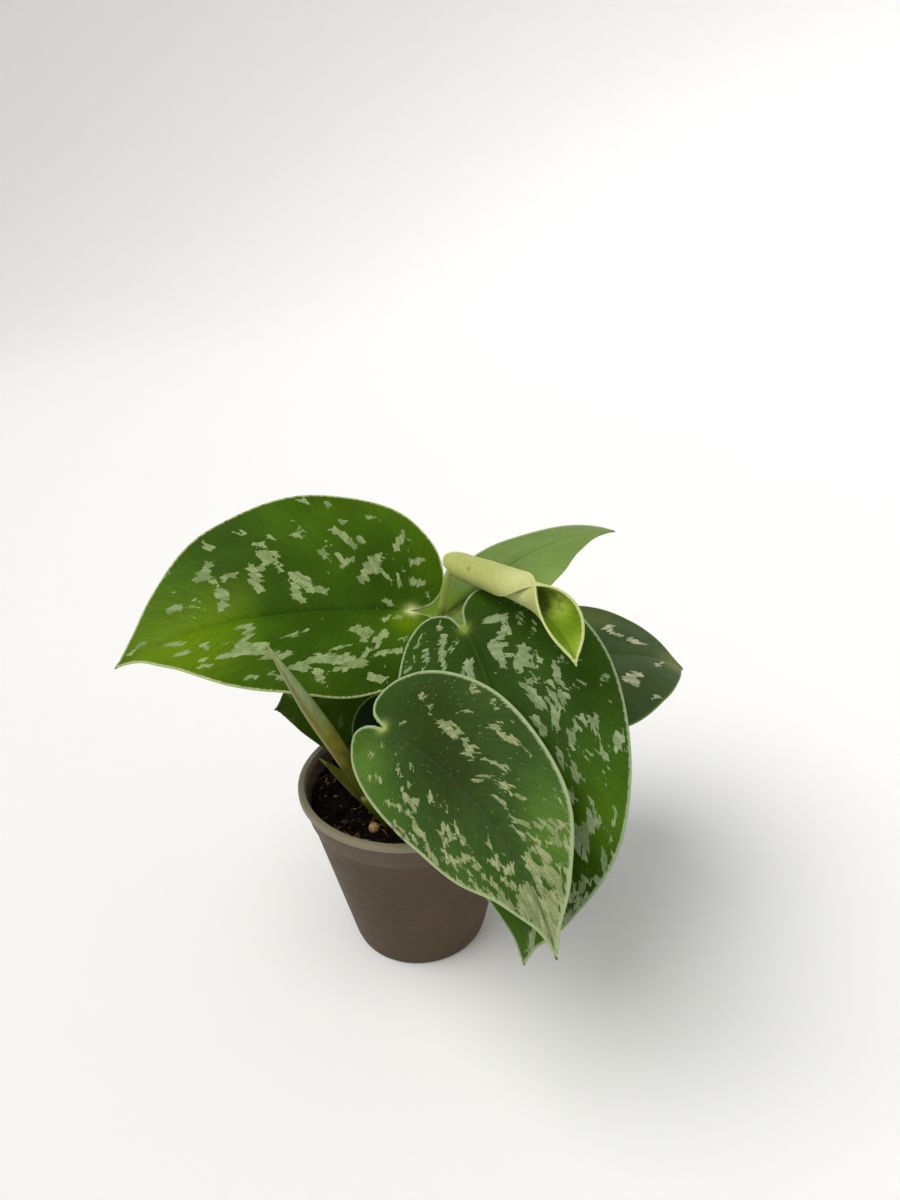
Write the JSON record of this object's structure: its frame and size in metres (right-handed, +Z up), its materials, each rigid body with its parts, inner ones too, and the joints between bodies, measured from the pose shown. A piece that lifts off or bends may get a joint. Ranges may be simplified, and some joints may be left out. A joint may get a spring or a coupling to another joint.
{
  "type": "potted satin pothos",
  "caption": "Young satin pothos in a small round nursery pot, with arching heart-shaped leaves splashed with silver, and new leaves that are still rolled.",
  "frame": {"origin": "centre of the pot's foot, on the surface that it stands on", "axes": "+Z up, -Y towards the viewer of the picture, +X to that viewer's right"},
  "size_m": [0.1313, 0.1127, 0.1114],
  "materials": {
    "pot": "matte",
    "soil": "matte",
    "pellet": "satin",
    "stem": "satin",
    "rolled_leaf": "satin",
    "leaf_bright": "satin",
    "leaf_bluish": "satin",
    "leaf_dark": "satin",
    "leaf_underside": "matte"
  },
  "bodies": {
    "root": {"pot": "pot", "soil": "soil", "pellet": "pellet", "stem_front": "stem", "leaf_spike": "rolled_leaf", "leaf_left": "leaf_bright", "leaf_centre": "leaf_bright", "leaf_front": "leaf_bluish", "leaf_right": "leaf_dark", "leaf_back": "leaf_underside", "leaf_low": "leaf_dark", "leaf_inner": "leaf_dark", "leaf_unfurling": "rolled_leaf"}
  },
  "joints": []
}
